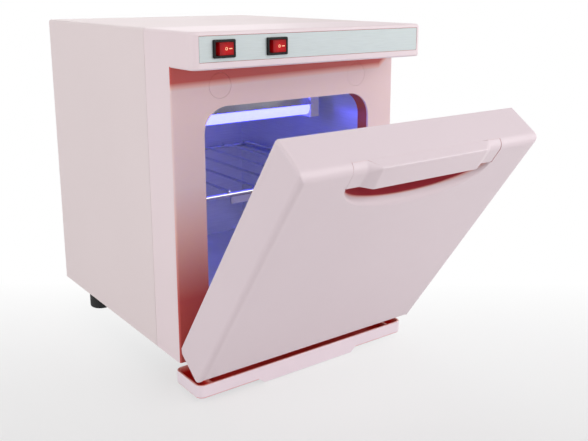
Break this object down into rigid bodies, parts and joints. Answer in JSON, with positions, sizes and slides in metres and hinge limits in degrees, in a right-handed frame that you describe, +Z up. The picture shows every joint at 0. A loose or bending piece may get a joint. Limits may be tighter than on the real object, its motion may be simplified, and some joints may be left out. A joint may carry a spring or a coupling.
{
  "type": "towel warmer",
  "caption": "Countertop towel warmer: insulated heated cabinet with a drop-down door, rocker switches on a control overhang, an inner wire shelf, a lamp and a pull-out drip tray.",
  "frame": {"origin": "on the floor, under the middle of the part's box with the door open at its stop", "axes": "+Z up, +Y from the door towards the cabinet's rear, +X to the right as seen from the front"},
  "size_m": [0.254, 0.4772, 0.331],
  "materials": {
    "pink_plastic": "satin moulded",
    "pink_paint": "satin paint on sheet steel",
    "tray_plastic": "satin moulded",
    "zinc_steel": "zinc-coated sheet",
    "liner_metal": "satin",
    "strip_grey": "matt film",
    "black_plastic": "satin",
    "rocker_red": "translucent, lit",
    "rack_wire": "bright",
    "reflector_metal": "bright",
    "lamp_glass": "glowing blue-violet",
    "holder_white": "matt",
    "wool": "mineral wool",
    "foam": "light foam",
    "heater_metal": "plain",
    "element_foil": "plain",
    "magnet": "plain",
    "iron": "plain",
    "rubber": "matt",
    "seal": "matt"
  },
  "bodies": {
    "cabinet": {"front_housing": "pink_plastic", "outer_wrapper": "pink_paint", "base_plate": "zinc_steel", "back_panel": "zinc_steel", "cord_gland": "black_plastic", "control_plate": "strip_grey", "rocker_frame_uv": "black_plastic", "rocker_frame_power": "black_plastic", "magnet_caps": "pink_plastic", "catch_magnets": "magnet", "chamber_liner": "liner_metal", "insulation_right": "wool", "insulation_left": "wool", "insulation_top": "wool", "insulation_back": "wool", "insulation_bottom": "wool", "heater_plate": "heater_metal", "heater_element": "element_foil", "thermostat": "holder_white", "lamp_tube": "lamp_glass", "lamp_holders": "holder_white", "lamp_reflector": "reflector_metal", "component_plate": "zinc_steel", "lamp_ballast": "iron", "terminal_block": "holder_white", "towel_rack": "rack_wire", "rack_rails": "liner_metal", "hinge_brackets": "zinc_steel", "tray_runners": "black_plastic", "feet": "rubber"},
    "door": {"door_shell": "pink_plastic", "door_inner_panel": "holder_white", "door_foam": "foam", "door_seal": "seal", "door_handle": "pink_plastic", "strike_plates": "zinc_steel", "hinge_blocks": "black_plastic"},
    "rocker_uv": {"rocker_uv": "rocker_red"},
    "rocker_power": {"rocker_power": "rocker_red"},
    "drip_tray": {"drip_tray": "tray_plastic"}
  },
  "joints": [
    {"name": "door_hinge", "type": "hinge", "parent": "cabinet", "child": "door", "pos_m": [0, -0.07233, 0.0385], "axis": [1, 0, 0], "range_deg": [-35.2, 0]},
    {"name": "uv_rocker", "type": "hinge", "parent": "cabinet", "child": "rocker_uv", "pos_m": [-0.0975, -0.08883, 0.3168], "axis": [0, 0, 1], "range_deg": [-16, 0]},
    {"name": "power_rocker", "type": "hinge", "parent": "cabinet", "child": "rocker_power", "pos_m": [-0.045, -0.08883, 0.3168], "axis": [0, 0, 1], "range_deg": [-16, 0]},
    {"name": "tray_slide", "type": "slide", "parent": "cabinet", "child": "drip_tray", "axis": [0, -1, 0], "range_m": [0, 0.055]}
  ]
}
